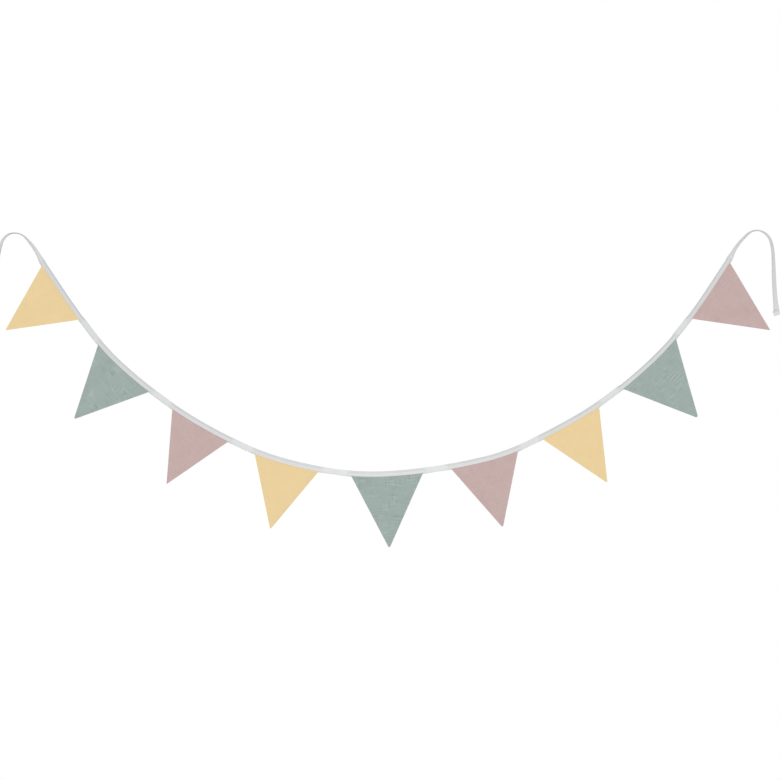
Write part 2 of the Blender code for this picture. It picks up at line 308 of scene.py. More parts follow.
sections = strip_sections()
middles = np.array([section.middle for section in sections])
strip_path = np.concatenate([[0], np.cumsum(np.linalg.norm(np.diff(middles, axis=0), axis=1))])
strip_length = strip_path[-1]
acrosses = np.array([section.across for section in sections])
fronts = np.array([section.front for section in sections])
openings = np.array([section.opening for section in sections], float)
leans = np.array([section.lean for section in sections], float)
hem_path = HEM_LENGTH + math.pi * hem_radius  # a flap and its turn


def between(path, values):
    """Values that each section has, read at places between the sections."""
    if values.ndim == 1:
        return np.interp(path, strip_path, values)
    return np.stack([np.interp(path, strip_path, values[:, axis]) for axis in range(3)], -1)


def on_strip(path, sideways, forwards):
    """Points on the strip: along its path, across it from its middle, and out from its middle."""
    return (
        between(path, middles)
        + between(path, acrosses) * np.asarray(sideways)[:, None]
        + between(path, fronts) * np.asarray(forwards)[:, None]
    )


print(len(sections), "sections over", round(strip_length, 3), "m of strip")

# %% [markdown]
# Seen from its end, the strip is a long U: the front leaf, the fold, and the back leaf, which reaches a
# little lower so that one seam catches both. Beside a pennant the leaves are pushed out by the linen,
# most of all over its thick top edge. Past that edge they lie on each other again, and the weight of the
# pennant bends this free part and its fold back, the more so the steeper the binding hangs. The seam
# pulls both leaves in along a shallow groove, and between seam and fold the cloth stays a little full.
# Nothing sewn is quite even, so a soft, repeatable noise moves the edge and both leaves by a few tenths
# of a millimetre.

# %% The folded section
PENNANT_HALF = 0.00060
PENNANT_AIR = 0.00004  # between a pennant and each leaf
RIDGE = 0.00040  # how much further out the leaves lie over a pennant's top edge
RIDGE_HEIGHT = 0.0082  # of that ridge above the lower edge
RIDGE_REACH = 0.0026
HOLLOW_START = 0.0088  # height at which the leaves turn in past the pennant's top edge
HOLLOW_EASE = 0.0015
BEND_HEIGHT = 0.0091  # height about which the fold is bent back
BEND_START = 0.0084
BEND_EASE = 0.0020
SEAM_HEIGHT = 0.0038  # of the stitches above the lower edge
SEAM_PINCH = 0.00008
SEAM_REACH = 0.0009
FULLNESS = 0.00012
EDGE_HEIGHTS = (0, 0.0002, 0.0006, 0.0012, 0.0018, 0.0026)  # above a leaf's own edge
LEAF_HEIGHTS = (0.0054, 0.0064, 0.0074, 0.0082, 0.0088, 0.0093, 0.0098, 0.0103, 0.0110, 0.0120)
FOLD_ANGLES = (30, 60, 90, 120, 150)
EDGE_WANDER = 0.00018  # unevenness of a leaf's edge
EDGE_GRAIN = 0.016
EDGE_REACH = 0.0060
LEAF_WANDER = 0.00012  # and of its surface, in two grains
FINE_GRAIN = 0.011
COARSE_GRAIN = 0.034
CALM_REACH = 0.0020  # below the fold, over which it dies away
COARSE_LAYER, EDGE_LAYER, SEAM_LAYER = 5, 9, 20  # each with a noise pattern of its own
SIDES_APART = 3  # from the front edge's pattern to the back one's
ROLLED_EDGE = (0.55, 0.86)  # share of the leaf's thickness at its edge and just inside it

beside_pennant = PENNANT_HALF + LEAF / 2 + PENNANT_AIR
fold_height = BINDING_WIDTH - LEAF / 2 - CLOSED_OFFSET


def soft_noise(along, across, grain, layer):
    """Smooth unevenness of about -0.5 to 0.5, the same in each run."""
    points = zip(np.ravel(along) / grain, np.ravel(across) / grain)
    return np.array([noise.noise(Vector((a, b, layer))) for a, b in points])


def leaf_offset(path, height, side):
    """How far a leaf's middle lies from the strip's middle, at a height above the lower edge."""
    opening = between(path, openings)
    full = FULLNESS * np.sin(np.pi * np.clip(height / fold_height, 0, 1)) * (1 - opening)
    ridge = RIDGE * np.exp(-(((np.minimum(height, RIDGE_HEIGHT) - RIDGE_HEIGHT) / RIDGE_REACH) ** 2))
    pressed = soft_step((height - HOLLOW_START) / HOLLOW_EASE)
    held = (beside_pennant - CLOSED_OFFSET + ridge) * (1 - pressed)
    pinch = SEAM_PINCH * np.exp(-(((height - SEAM_HEIGHT) / SEAM_REACH) ** 2))
    fine = soft_noise(path, height, FINE_GRAIN, side)
    coarse = soft_noise(path, height, COARSE_GRAIN, COARSE_LAYER + side)
    calm = soft_step((fold_height - height) / CALM_REACH)
    return CLOSED_OFFSET + full + held * opening - pinch + LEAF_WANDER * (fine + coarse) * calm


def edge_shift(path, height, side):
    """How far a leaf is moved across the strip: its lower edge is never dead straight."""
    near_edge = soft_step(1 - height / EDGE_REACH)
    return EDGE_WANDER * soft_noise(path, side * SIDES_APART, EDGE_GRAIN, EDGE_LAYER) * near_edge


def bent_back(path, height, forwards):
    """A place of the section, height above its lower edge and forwards of its middle, once bent back."""
    angle = between(path, leans) * soft_step((height - BEND_START) / BEND_EASE)
    beyond = height - BEND_HEIGHT
    sideways = BEND_HEIGHT - BINDING_WIDTH / 2 + beyond * np.cos(angle) + forwards * np.sin(angle)
    return sideways, forwards * np.cos(angle) - beyond * np.sin(angle)


def leaf_points(path, height, side, outward):
    """Points on a leaf, side 1 at the front and -1 at the back, and outward from its middle surface."""
    forwards = side * (leaf_offset(path, height, side) + outward)
    return on_strip(path, *bent_back(path, height + edge_shift(path, height, side), forwards))


# %% [markdown]
# A sheet of cloth is a grid whose corners we place one by one. Three things are known at each corner:
# where it hangs, where it lies on the flat cloth, and how thick the cloth is there. The flat place is
# kept as a UV map in metres, so that the weave follows every fold at its true scale. The thickness is
# kept as a vertex group, which Solidify reads: the edges come out rolled and thin without a bevel.


# %% A sheet from a grid
def shaped_sheet(name, points, flat_places, fullness, thickness):
    """A closed sheet from a grid of points, rows by columns, with its flat places and thickness."""
    rows, columns = fullness.shape
    grid = bmesh.new()
    bmesh.ops.create_grid(grid, x_segments=columns - 1, y_segments=rows - 1, size=1)
    flat_map = grid.loops.layers.uv.new("flat cloth")
    for corner, place in zip(grid.verts, points.reshape(-1, 3)):
        corner.co = place
    flat = flat_places.reshape(-1, 2)
    for face in grid.faces:
        for loop in face.loops:
            loop[flat_map].uv = flat[loop.vert.index]
    mesh = bpy.data.meshes.new(name)
    grid.to_mesh(mesh)
    grid.free()
    piece = bpy.data.objects.new(name, mesh)
    bpy.context.scene.collection.objects.link(piece)
    group = piece.vertex_groups.new(name="fullness")
    for index, share in enumerate(fullness.ravel()):
        group.add([index], float(share), "REPLACE")
    solid = piece.modifiers.new("two faces", "SOLIDIFY")
    solid.thickness = thickness
    solid.offset = 0
    solid.vertex_group = group.name
    bpy.context.view_layer.objects.active = piece
    bpy.ops.object.modifier_apply(modifier=solid.name)
    piece.vertex_groups.remove(piece.vertex_groups["fullness"])
    piece.data.shade_smooth()
    return piece


def report(piece):
    """Prints a piece's triangles and its volume, which is above 0 when its faces point outwards."""
    solid = bmesh.new()
    solid.from_mesh(piece.data)
    triangles = sum(len(face.verts) - 2 for face in solid.faces)
    print(f"{piece.name}: {triangles} triangles, {solid.calc_volume(signed=True) * 1e6:.2f} cm3")
    solid.free()


# %% [markdown]
# With these helpers the binding is a single sheet, as the real one is a single strip: section by
# section along, and round the U across. One mesh keeps the fold and both hems continuous. Each corner
# also keeps a painted shade, which darkens the cotton's colour there. It is stronger over a pennant,
# grows as the swag gets steeper and dies away along the ties, and it grows again towards the ties'
# free ends.

# %% The binding
STEEP_SHADE = 0.70  # painted shade where the swag would hang straight down
PENNANT_SHADE = 0.30  # painted shade added over a pennant
FREE_END_SHADE = 0.50  # painted shade at a tie's free end
STEEP_SHADE_LENGTH = 0.036  # of a tie, over which the steep swag's painted shade dies away
FREE_END_SHADE_START = 0.130  # along a tie, where the painted shade of its free end starts
FREE_END_SHADE_EASE = 0.020


def strip_profile():
    """The strip's corners across it, as (side, height, angle round the fold or None, flat place)."""
    front = [FRONT_SHORTER + height for height in EDGE_HEIGHTS] + list(LEAF_HEIGHTS)
    back = list(EDGE_HEIGHTS) + [SEAM_HEIGHT] + list(LEAF_HEIGHTS)
    corners = [(1, height, None, height) for height in front]
    round_fold = [math.radians(angle) for angle in FOLD_ANGLES]
    corners += [(0, fold_height, angle, fold_height + CLOSED_OFFSET * angle) for angle in round_fold]
    far_side = 2 * fold_height + math.pi * CLOSED_OFFSET
    corners += [(-1, height, None, far_side - height) for height in reversed(back)]
    return corners


def make_binding():
    profile = strip_profile()
    lines = []
    for side, height, angle, _ in profile:
        if angle is None:
            lines.append(leaf_points(strip_path, np.full(len(sections), height), side, 0))
            continue
        top = np.full(len(sections), fold_height + CLOSED_OFFSET * math.sin(angle))
        round_fold = bent_back(strip_path, top, CLOSED_OFFSET * math.cos(angle))
        lines.append(on_strip(strip_path, *round_fold))
    flat_across = np.array([corner[3] for corner in profile])
    flat = np.stack(np.meshgrid(strip_path, flat_across), -1)
    fullness = np.ones((len(profile), len(sections)))
    for depth, share in enumerate(ROLLED_EDGE):
        fullness[[depth, -1 - depth], :] = share
        fullness[:, [depth, -1 - depth]] = np.minimum(fullness[:, [depth, -1 - depth]], share)
    width = flat_across[-1] - flat_across[0]
    piece = shaped_sheet("cotton_binding", np.array(lines), flat, fullness, LEAF)
    mark_painted_shade(piece, len(profile))
    return piece, width


def mark_painted_shade(piece, lines):
    """Keeps on each corner the painted shade that darkens the cotton's colour there. Both faces of the
    sheet follow each other in the list of corners, each with one row of corners for each line."""
    along = strip_path - hem_path
    on_tie = np.maximum(left_length - along, along - right_start)
    steepness = np.abs(np.gradient(middles[:, 2], strip_path))
    # painted shade: darker where the swag is steep, over each pennant and towards the ties' free ends
    steep_shade = STEEP_SHADE * steepness * soft_step(1 - on_tie / STEEP_SHADE_LENGTH)
    end_shade = FREE_END_SHADE * soft_step((on_tie - FREE_END_SHADE_START) / FREE_END_SHADE_EASE)
    painted_shade = piece.data.attributes.new("painted_shade", "FLOAT", "POINT")
    painted_shade.data.foreach_set("value", np.tile(steep_shade + end_shade + PENNANT_SHADE * openings, 2 * lines))


binding, strip_width = make_binding()
report(binding)
print("strip unfolded:", round(strip_width * 1000, 1), "mm wide and", round(strip_length, 3), "m long")

# %% [markdown]
# Each pennant is two triangles of linen, sewn right sides together along two sides, turned and pressed.
# Some tips were poked out sharp and others stayed a little blunt, so each has a radius of its own.
# The sides are rolled edges, the seam allowances make a band a little thicker just inside them, and the
# middle is thinner. The seam also draws the edge in by tiny, uneven puckers. We take the same hanging
# surface as the construction, place more points on it, closest near the edges, and work out the
# thickness from each point's distance to the outline.

# %% Sizes of a pennant's cloth
PENNANT_THICKNESS = 0.0012
EDGE_DISTANCES = (0, 0.0002, 0.0005, 0.0010, 0.0018)
PENNANT_STEP = 0.0025
TIP_EVENING = 6  # the higher, the nearer to the tip the grid's columns become even
HIDDEN_TUCKS = (0.0090, 0.0060, 0.0030)
ROLL = 0.0007  # how far in the rolled edge reaches
ALLOWANCE = 0.0070  # width of the turned-in seam allowance
ALLOWANCE_END = 0.0020  # and how softly it ends
EDGE_SHARE = 0.30
MIDDLE_SHARE = 0.72
PUCKER = 0.00030
PUCKER_GRAIN = 0.010
PUCKER_REACH = 0.0060
SOFT_WAVE = 0.00050
WAVE_GRAIN = 0.045
HELD_SHARE = 0.125  # of the length, over which puckers and wave set in below the binding
FIRST_DROP = 0.01  # share of the length left free of points below the binding
CUT_APART = 0.4  # on the roll, from one pennant's place to the next


# %% [markdown]
# The grid is ruled from the line where the pennant leaves the binding to the round of its blunt tip.
# Its outline is two straight sides and that round, so the distance to the edge is a short sum.


# %% The hanging surface of a pennant
class PennantCloth:
    """One pennant's middle surface, with its own flat directions: sideways and down."""

    def __init__(self, row, span):
        self.row, self.span = row, span
        self.left, self.right = self.seat(0, 0), self.seat(1, 0)
        self.sideways = (self.right - self.left).normalized()
        self.down = Vector((self.sideways.z, 0, -self.sideways.x))
        self.top_middle = (self.left + self.right) / 2
        self.tip = self.top_middle + self.sideways * row.tip_shift + self.down * row.height
        to_left, to_right = (self.left - self.tip).normalized(), (self.right - self.tip).normalized()
        self.half_angle = to_left.angle(to_right) / 2
        self.outward = -(to_left + to_right).normalized()
        self.aside = (to_right - to_left).normalized()
        self.round_centre = self.tip - self.outward * row.tip_round / math.sin(self.half_angle)
        turned_in = Vector((0, 1, 0))
        self.from_left = to_left.cross(turned_in).normalized()
        self.from_right = turned_in.cross(to_right).normalized()
        self.reach = (self.tip_point(0.5) - self.top_middle).dot(self.down)

    def seat(self, share, tuck):
        """A point on the binding's middle, tuck in from its lower edge, where the sides have spread."""
        start, end = self.span
        over = hidden_spread(self.row) * tuck / TUCK
        middle, _, across, _ = line.frame(start - over + share * (end - start + 2 * over))
        return middle + across * (tuck - BINDING_WIDTH / 2)

    def fall(self, point):
        """How far down the cloth a point lies, from 0 at the binding to 1 at the end of the tip."""
        return min(max((point - self.top_middle).dot(self.down) / self.reach, 0.0), 1.0)

    def tip_point(self, share):
        angle = (2 * share - 1) * (math.pi / 2 - self.half_angle)
        toward = self.outward * math.cos(angle) + self.aside * math.sin(angle)
        return self.round_centre + toward * self.row.tip_round

    def to_edge(self, point):
        """Distance from a point of the flat surface to the nearest side or to the round of the tip."""
        sides = min(abs((point - self.tip).dot(self.from_left)), abs((point - self.tip).dot(self.from_right)))
        from_centre = point - self.round_centre
        if from_centre.dot(self.outward) > from_centre.length * math.sin(self.half_angle):
            return max(0.0, self.row.tip_round - from_centre.length)
        return sides


def edge_first(length, step):
    """Shares of a length, from 0 to 1: even steps, with closer ones at both ends."""
    near = [distance / length for distance in EDGE_DISTANCES]
    inner_length = 1 - 2 * near[-1]
    count = math.ceil(inner_length * length / step)
    inner = [near[-1] + inner_length * number / count for number in range(1, count)]
    return near + inner + [1 - share for share in reversed(near)]


def cloth_share(to_edge):
    """The pennant's thickness at a distance from its edge, as a share of the thickest."""
    if to_edge < ROLL:
        return EDGE_SHARE + (1 - EDGE_SHARE) * math.sqrt(1 - (1 - to_edge / ROLL) ** 2)
    return 1 - (1 - MIDDLE_SHARE) * float(soft_step((to_edge - ALLOWANCE) / ALLOWANCE_END))


# %% [markdown]
# Now the nine pennants. Each gets its own piece of the flat cloth for its UV map, as if cut from another
# place on the roll, so that no two show the same threads. The pucker dies away a few millimetres from
# the edge, and a wide, weak wave keeps the middle from being a perfect plane. Towards the tip the
# columns of the grid spread out evenly, because they run round its small arc.


# %% The pennants
def make_pennant(number, row, span):
    cloth = PennantCloth(row, span)
    shares = edge_first(row.top, PENNANT_STEP)
    drops = [share for share in edge_first(row.height, PENNANT_STEP) if share == 0 or share > FIRST_DROP]
    points, flat, fullness = [], [], []
    for tuck in HIDDEN_TUCKS:
        for share in shares:
            point = cloth.seat(share, tuck)
            points.append(point)
            flat.append(point)
            fullness.append(cloth_share(cloth.to_edge(point)))
    for drop in drops:
        for column, top_share in enumerate(shares):
            even_share = column / (len(shares) - 1)
            share = top_share + (even_share - top_share) * drop**TIP_EVENING
            point = cloth.seat(share, 0).lerp(cloth.tip_point(share), drop)
            to_edge = cloth.to_edge(point)
            fall = cloth.fall(point)
            curl = row.curl * fall**2
            twist = row.twist * (2 * share - 1) * 4 * fall**2 * (1 - fall)
            ripple = row.ripple * math.sin(math.pi * fall) ** 2 * math.sin(2 * math.pi * share)
            free = float(soft_step(fall / HELD_SHARE))
            pucker = noise.noise(point / PUCKER_GRAIN + Vector((0, number, 0)))
            pucker *= PUCKER * math.exp(-to_edge / PUCKER_REACH)
            wave = SOFT_WAVE * noise.noise(point / WAVE_GRAIN + Vector((0, 3 * number, 0)))
            points.append(point + Vector((0, curl + twist + ripple + (pucker + wave) * free, 0)))
            flat.append(point)
            fullness.append(cloth_share(to_edge))
    grid = (len(HIDDEN_TUCKS) + len(drops), len(shares))
    places = [(point - cloth.top_middle) for point in flat]
    flat = [(place.dot(cloth.sideways) + CUT_APART * number, place.dot(cloth.down)) for place in places]
    return shaped_sheet(
        f"linen_pennant_{number}_{row.cloth}",
        np.array(points),
        np.array(flat),
        np.array(fullness).reshape(grid),
        PENNANT_THICKNESS,
    )


pennants = []
for number, (row, span) in enumerate(zip(PENNANTS, pennant_spans()), start=1):
    pennants.append(make_pennant(number, row, span))
    report(pennants[-1])

# %% [markdown]
# The seam is a straight machine stitch. One stitch shows as a short bead of thread that dives into the
# cloth at both ends. We model one, from a cylinder with few sides, since it repeats about two thousand
# times: its long edges are cut into four, the middle rings are lifted and the end rings are sunk and
# drawn in.

# %% One stitch
STITCH_PITCH = 0.0026
STITCH_LENGTH = 0.0023
THREAD_RADIUS = 0.00014
STITCH_SIDES = 6
CROWN_LIFT = 0.75  # of the middle ring, as a share of the thread's radius
SHOULDER_LIFT = 0.50
END_SINK = 0.80
END_SIZE = 0.70  # of the end rings, as a share of their first size
RING_NEAR = STITCH_LENGTH / 40  # a corner this near to a ring's place lies on it


def select_edges(piece, wanted):
    """Selects the edges of a piece in edit mode for which wanted(edge) is true."""
    mesh = bmesh.from_edit_mesh(piece.data)
    for edge in mesh.edges:
        edge.select_set(False)
    for edge in mesh.edges:
        if wanted(edge):
            edge.select_set(True)
    bmesh.update_edit_mesh(piece.data)


def ring_at(distance):
    """A test for the edges of the ring at a distance from the stitch's middle."""
    return lambda edge: all(abs(abs(v.co.x) - distance) < RING_NEAR for v in edge.verts)


def make_stitch():
    bpy.ops.mesh.primitive_cylinder_add(
        vertices=STITCH_SIDES, radius=THREAD_RADIUS, depth=STITCH_LENGTH, rotation=(0, math.pi / 2, 0)
    )
    stitch = bpy.context.object
    bpy.ops.object.transform_apply(rotation=True)
    bpy.ops.object.mode_set(mode="EDIT")
    bpy.ops.mesh.select_mode(type="EDGE")
    select_edges(stitch, lambda edge: abs(edge.verts[0].co.x - edge.verts[1].co.x) > STITCH_LENGTH / 2)
    bpy.ops.mesh.subdivide(number_cuts=3)
    select_edges(stitch, ring_at(0))
    bpy.ops.transform.translate(value=(0, 0, THREAD_RADIUS * CROWN_LIFT))
    select_edges(stitch, ring_at(STITCH_LENGTH / 4))
    bpy.ops.transform.translate(value=(0, 0, THREAD_RADIUS * SHOULDER_LIFT))
    select_edges(stitch, ring_at(STITCH_LENGTH / 2))
    bpy.ops.transform.translate(value=(0, 0, -THREAD_RADIUS * END_SINK))
    bpy.ops.transform.resize(value=(1, END_SIZE, END_SIZE))
    bpy.ops.object.mode_set(mode="OBJECT")
    stitch.data.uv_layers[0].name = "flat cloth"
    return stitch


stitch = make_stitch()
print("one stitch has", len(stitch.data.polygons), "faces")

# %% [markdown]
# A row of stitches is that one, repeated by an Array modifier along X and then laid on the strip: X
# becomes the way along the strip's path and Z the way out of the leaf. The back row runs from raw end to
# raw end, over both hems. The front row ends where the flaps cover it.


# %% The two rows along the binding
SEAM_WANDER = 0.0001
SEAM_GRAIN = 0.013
SEAM_END = 0.001  # from the strip's raw end to the back row


def stitch_row(name, count):
    """Stitches side by side on X, the first at the origin, as one mesh."""
    row = stitch.copy()
    row.data = stitch.data.copy()
    row.name = row.data.name = name
    bpy.context.scene.collection.objects.link(row)
    repeat = row.modifiers.new("row", "ARRAY")
    repeat.count = count
    repeat.use_relative_offset = False
    repeat.use_constant_offset = True
    repeat.constant_offset_displace = (STITCH_PITCH, 0, 0)
    bpy.context.view_layer.objects.active = row
    bpy.ops.object.modifier_apply(modifier=repeat.name)
    return row


def lay(row, place):
    """Moves each corner of a row to place(corners) and turns its faces outwards."""
    corners = np.empty(len(row.data.vertices) * 3)
    row.data.vertices.foreach_get("co", corners)
    row.data.vertices.foreach_set("co", place(corners.reshape(-1, 3)).ravel())
    row.data.update()
    bpy.ops.object.select_all(action="DESELECT")
    row.select_set(True)
    bpy.context.view_layer.objects.active = row
    bpy.ops.object.mode_set(mode="EDIT")
    bpy.ops.mesh.select_all(action="SELECT")
    bpy.ops.mesh.normals_make_consistent(inside=False)
    bpy.ops.object.mode_set(mode="OBJECT")
    row.data.shade_smooth()
    row.select_set(False)
    return row


def seam_along(name, start, end, side):
    """A row of stitches along a leaf, from one place on the strip's path to another."""
    count = int((end - start) / STITCH_PITCH)

    def place(corners):
        path = start + STITCH_PITCH / 2 + corners[:, 0]
        height = SEAM_HEIGHT + corners[:, 1] + SEAM_WANDER * soft_noise(path, side, SEAM_GRAIN, SEAM_LAYER)
        return leaf_points(path, height, side, LEAF / 2 + corners[:, 2])

    return lay(stitch_row(name, count), place)


front_seam = seam_along("seam_front", hem_path + HEM_LENGTH, strip_length - hem_path - HEM_LENGTH, 1)
back_seam = seam_along("seam_back", SEAM_END, strip_length - SEAM_END, -1)
report(front_seam)
report(back_seam)

# %% [markdown]
# Each hem is held by one short line of stitches across it. It shows on the flap in front and on the
# strip behind it, and both of those are the strip's back leaf, because the flap is folded over.

# %% The lines across the hems
HEM_SEAM = 0.0030  # from the flap's raw end
HEM_SEAM_RISE = 0.0003  # above the strip's middle
HEM_STITCHES = 4


def seam_across(name, path):
    """A short line of stitches across the strip's back leaf, at one place on its path."""
    half = (HEM_STITCHES - 1) * STITCH_PITCH / 2

    def place(corners):
        height = BINDING_WIDTH / 2 + HEM_SEAM_RISE + corners[:, 0] - half
        return leaf_points(path + corners[:, 1], height, -1, LEAF / 2 + corners[:, 2])

    return lay(stitch_row(name, HEM_STITCHES), place)


behind_flap = 2 * hem_path - HEM_SEAM - math.pi * hem_radius
hem_seams = [
    seam_across("hem_seam_left_front", HEM_SEAM),
    seam_across("hem_seam_left_back", behind_flap),
    seam_across("hem_seam_right_front", strip_length - HEM_SEAM),
    seam_across("hem_seam_right_back", strip_length - behind_flap),
]
bpy.data.objects.remove(stitch)
for seam in hem_seams:
    report(seam)
seams = [front_seam, back_seam, *hem_seams]

# %% [markdown]
# Both cloths are plain weave: threads that pass over and under each other in a chequer. Seen close, each
# crossing is a small bead, longer along the thread that lies on top. Linen is spun unevenly, so here and
# there a few threads are thicker or thinner for a centimetre or two. These slubs show as short pale and
# dark dashes, more of them along the binding than down the pennant, and they come in patches. Cotton is
# finer and more even. One node group makes both. It reads the flat cloth's UV map, in metres, and its
# inputs are what a weaver would set: the spacing of the threads, how far they wander, and how long and
# wide the slubs are.

# %% Woven cloth as a node group
VALUE = "NodeSocketFloat"
WEAVE_INPUTS = {
    "Threads per Metre": 1500.0,
    "Wander": 0.3,
    "Slub Length": 0.02,
    "Slub Width": 0.003,
    "Slub Height": 0.3,
}
WEAVE_OUTPUTS = ("Height", "Thread Tone", "Slubs", "Clouds")
STRAY_SCALE = 90.0  # of the threads' wandering, per metre
PATCH_SCALE = 34.0  # of the patches that have slubs
CLOUD_SCALE = 28.0  # of the paler and darker clouds
TONE_SCALE = 0.8  # of the tone of single threads, per thread
BEAD_POWER = 0.4  # the lower, the squarer each crossing
PATCH_START, PATCH_FULL = 0.38, 0.64
CROSS_START, DOWN_START = 0.56, 0.57  # noise at which a slub starts, along the binding and down
DASH_EDGE = 0.12  # noise over which it reaches its full tone
DOWN_SHARE = 0.75  # strength of the slubs that run down
SLUB_LIMIT = 0.8  # where two slubs cross


class Desk:
    """Adds nodes to a tree and links them, each in a line."""

    def __init__(self, tree):
        self.tree = tree

    def add(self, kind, inputs=(), **settings):
        node = self.tree.nodes.new(kind)
        for name, value in settings.items():
            setattr(node, name, value)
        self.fill(node, inputs)
        return node

    def fill(self, node, inputs):
        """Gives a node's inputs their values, or links them to the sockets that carry them."""
        for name, value in dict(inputs).items():
            if isinstance(value, bpy.types.NodeSocket):
                self.tree.links.new(value, node.inputs[name])
            else:
                node.inputs[name].default_value = value

    def calculate(self, operation, *values):
        return self.add("ShaderNodeMath", dict(enumerate(values)), operation=operation).outputs[0]

    def times(self, first, second):
        return self.calculate("MULTIPLY", first, second)

    def plus(self, first, second):
        return self.calculate("ADD", first, second)

    def vectors(self, operation, *values):
        return self.add("ShaderNodeVectorMath", dict(enumerate(values)), operation=operation).outputs[0]

    def scaled(self, vector, across, down):
        """A vector, stretched by two factors that may be sockets."""
        factors = self.add("ShaderNodeCombineXYZ", {"X": across, "Y": down}).outputs[0]
        return self.vectors("MULTIPLY", vector, factors)

    def noise(self, vector, scale, detail=1.0, output="Fac"):
        inputs = {"Vector": vector, "Scale": scale, "Detail": detail}
        return self.add("ShaderNodeTexNoise", inputs).outputs[output]

    def spread(self, value, low, high, new_low=0.0, new_high=1.0):
        """A value from low to high, taken to new_low to new_high and kept within them."""
        numbers = {"Value": value, "From Min": low, "From Max": high, "To Min": new_low, "To Max": new_high}
        return self.add("ShaderNodeMapRange", numbers).outputs[0]

    def dashes(self, vector, start):
        """Short dashes: 1 in a pale one, -1 in a dark one and 0 between them."""
        value = self.noise(vector, 1.0)
        pale = self.spread(value, start, start + DASH_EDGE)
        dark = self.spread(value, 1 - start, 1 - start - DASH_EDGE)
        return self.calculate("SUBTRACT", pale, dark)

    def mixed(self, share, first, second):
        return self.add("ShaderNodeMix", {0: share, 2: first, 3: second}).outputs[0]

    def mixed_colour(self, share, first, second):
        return self.add("ShaderNodeMix", {0: share, 6: first, 7: second}, data_type="RGBA").outputs[2]


def woven_cloth_group():
    group = bpy.data.node_groups.new("woven cloth", "ShaderNodeTree")
    group.interface.new_socket("Flat Place", in_out="INPUT", socket_type="NodeSocketVector")
    for label, value in WEAVE_INPUTS.items():
        group.interface.new_socket(label, in_out="INPUT", socket_type=VALUE).default_value = value
    for label in WEAVE_OUTPUTS:
        group.interface.new_socket(label, in_out="OUTPUT", socket_type=VALUE)
    desk = Desk(group)
    given = desk.add("NodeGroupInput").outputs
    place, threads = given["Flat Place"], given["Threads per Metre"]
    strays = desk.noise(place, STRAY_SCALE, output="Color")
    centred = desk.vectors("SUBTRACT", strays, (0.5, 0.5, 0.5))
    shift = desk.scaled(centred, given["Wander"], given["Wander"])
    counted = desk.vectors("ADD", desk.scaled(place, threads, threads), shift)
    split = desk.add("ShaderNodeSeparateXYZ", {0: counted}).outputs
    wave_a = desk.calculate("SINE", desk.times(split["X"], math.pi))
    wave_b = desk.calculate("SINE", desk.times(split["Y"], math.pi))
    size_a, size_b = desk.calculate("ABSOLUTE", wave_a), desk.calculate("ABSOLUTE", wave_b)
    down_thread = desk.times(size_a, desk.calculate("POWER", size_b, BEAD_POWER))
    cross_thread = desk.times(size_b, desk.calculate("POWER", size_a, BEAD_POWER))
    on_top = desk.calculate("GREATER_THAN", desk.times(wave_a, wave_b), 0.0)
    bead = desk.mixed(on_top, cross_thread, down_thread)
    slow = desk.calculate("DIVIDE", 1.0, given["Slub Length"])
    quick = desk.calculate("DIVIDE", 1.0, given["Slub Width"])
    cross_tone = desk.noise(desk.scaled(place, slow, threads), TONE_SCALE)
    down_tone = desk.noise(desk.scaled(place, threads, slow), TONE_SCALE)
    patches = desk.spread(desk.noise(place, PATCH_SCALE), PATCH_START, PATCH_FULL)
    cross_slub = desk.dashes(desk.scaled(place, slow, quick), CROSS_START)
    down_slub = desk.times(desk.dashes(desk.scaled(place, quick, slow), DOWN_START), DOWN_SHARE)
    limits = (-SLUB_LIMIT, SLUB_LIMIT)
    slubs = desk.times(desk.spread(desk.plus(cross_slub, down_slub), *limits, *limits), patches)
    height = desk.plus(bead, desk.times(slubs, given["Slub Height"]))
    tone = desk.mixed(on_top, cross_tone, down_tone)
    clouds = desk.noise(place, CLOUD_SCALE, 3.0)
    desk.add("NodeGroupOutput", zip(WEAVE_OUTPUTS, (height, tone, slubs, clouds)))
    return group


woven_cloth = woven_cloth_group()
print("woven cloth:", len(woven_cloth.nodes), "nodes")

# %% [markdown]
# A cloth's colour is mixed from a darker and a lighter shade of one dye by the tone of each thread, then
# lightened on the slubs. Painted shade darkens it in the holes between the threads, where little light
# gets out, and painted light brightens it a little on the threads' crests. The shares are small: from a
# few steps away the cloth reads as one flat, chalky colour with a faint grain.
# The surface is rough, with a weak sheen from loose fibres.

# %% Cloth materials
Cloth = namedtuple("Cloth", "colour weave slubs tone clouds holes depth roughness")
LINEN = (1500, 0.35, 0.026, 0.0036)  # the weave's inputs in their order, but for the slubs' height
COTTON = (2600, 0.20, 0.030, 0.0030)
CLOTHS = {
    "yellow": Cloth((0.821, 0.634, 0.339), (*LINEN, 0.04), 0.010, 0.020, 0.010, 0.10, 0.00018, 0.90),
    "green": Cloth((0.350, 0.421, 0.394), (*LINEN, 0.30), 0.115, 0.040, 0.030, 0.12, 0.00018, 0.90),
    "rose": Cloth((0.561, 0.418, 0.403), (*LINEN, 0.12), 0.045, 0.040, 0.025, 0.12, 0.00018, 0.90),
    "cotton": Cloth((0.757, 0.763, 0.770), (*COTTON, 0.0), 0.0, 0.020, 0.015, 0.06, 0.00009, 0.85),
}
TONES = (0.25, 0.75)  # thread noise that gives the darkest and the lightest shade
CLOUDS = (0.3, 0.7)  # and cloud noise
HOLE_TOP = 0.8  # height of the weave above which no painted shade of a hole darkens it
SHEEN = 0.10
PAINTED_SHADE_DEPTH = 0.17  # how much the painted shade darkens the cotton's colour at its strongest


def shade(colour, factor):
    return (*(min(1.0, channel * factor) for channel in colour), 1)


def new_material(name):
    """A material with a desk for its nodes, and its shader."""
    material = bpy.data.materials.new(name)
    material.use_nodes = True
    return material, Desk(material.node_tree), material.node_tree.nodes["Principled BSDF"]


